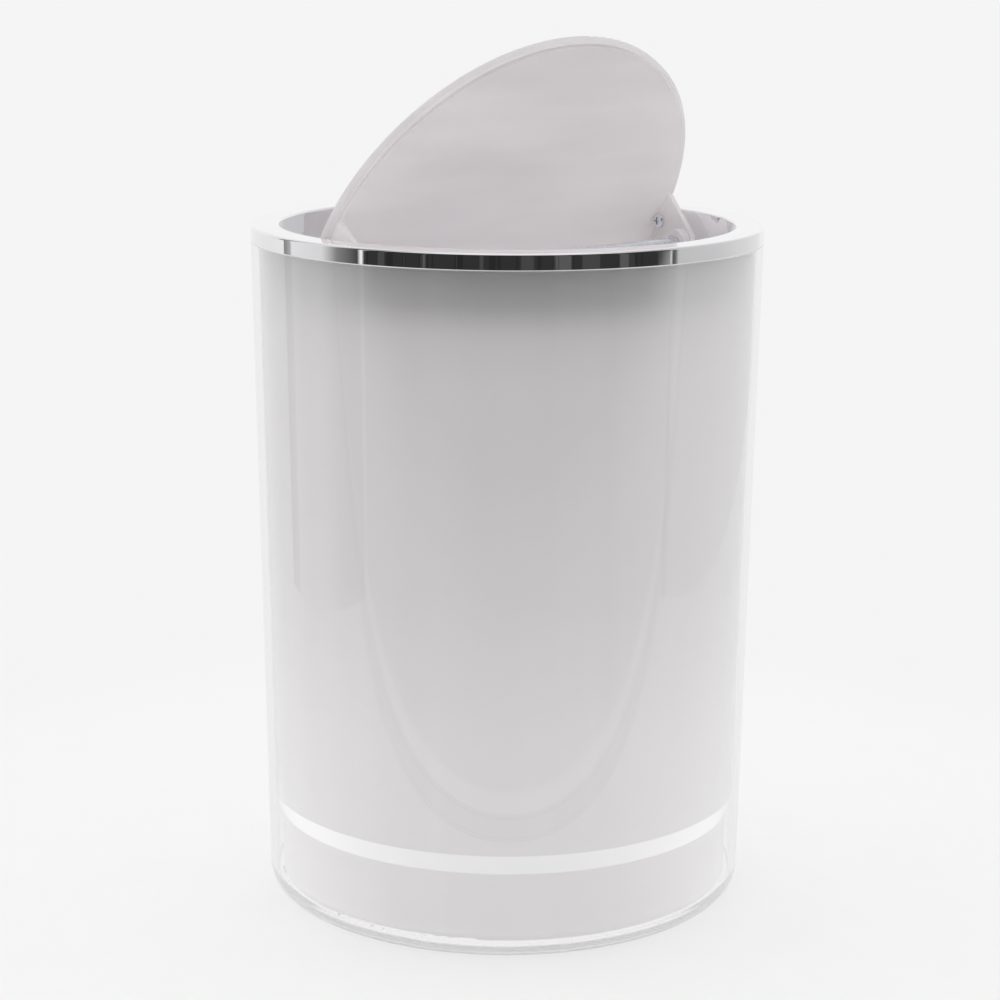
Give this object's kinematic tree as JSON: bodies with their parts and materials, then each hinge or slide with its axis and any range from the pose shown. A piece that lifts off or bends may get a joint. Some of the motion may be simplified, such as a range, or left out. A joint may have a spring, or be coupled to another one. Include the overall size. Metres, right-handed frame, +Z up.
{
  "type": "wastebasket",
  "caption": "Round swing-lid wastebasket: a clear outer shell over a white liner, a chrome lid ring and a round counterweighted flap that swings on two pivots.",
  "frame": {"origin": "centre of the base on the floor", "axes": "+Z up, +X along the flap's swing axis, +Y across it; at rest the flap stands open with its -Y half raised"},
  "size_m": [0.185, 0.185, 0.3147],
  "materials": {
    "clear_shell": "clear, polished",
    "liner_plastic": "smooth white with a faint lilac cast",
    "chrome": "bright chrome plating on moulded plastic",
    "bush_plastic": "plain nylon",
    "steel": "zinc plated, bright",
    "flap_plastic": "glossy white"
  },
  "bodies": {
    "body": {"outer_shell": "clear_shell", "inner_liner": "liner_plastic", "lid_ring": "chrome", "pivot_bush_left": "bush_plastic", "pivot_bush_right": "bush_plastic", "pivot_screw_left": "steel", "pivot_screw_right": "steel"},
    "flap": {"flap_cover": "flap_plastic", "flap_plate": "flap_plastic", "counterweight_rod": "steel"}
  },
  "joints": [
    {"name": "flap_swing", "type": "hinge", "parent": "body", "child": "flap", "pos_m": [0, 0, 0.24285], "axis": [1, 0, 0], "range_deg": [-22, 138]}
  ]
}
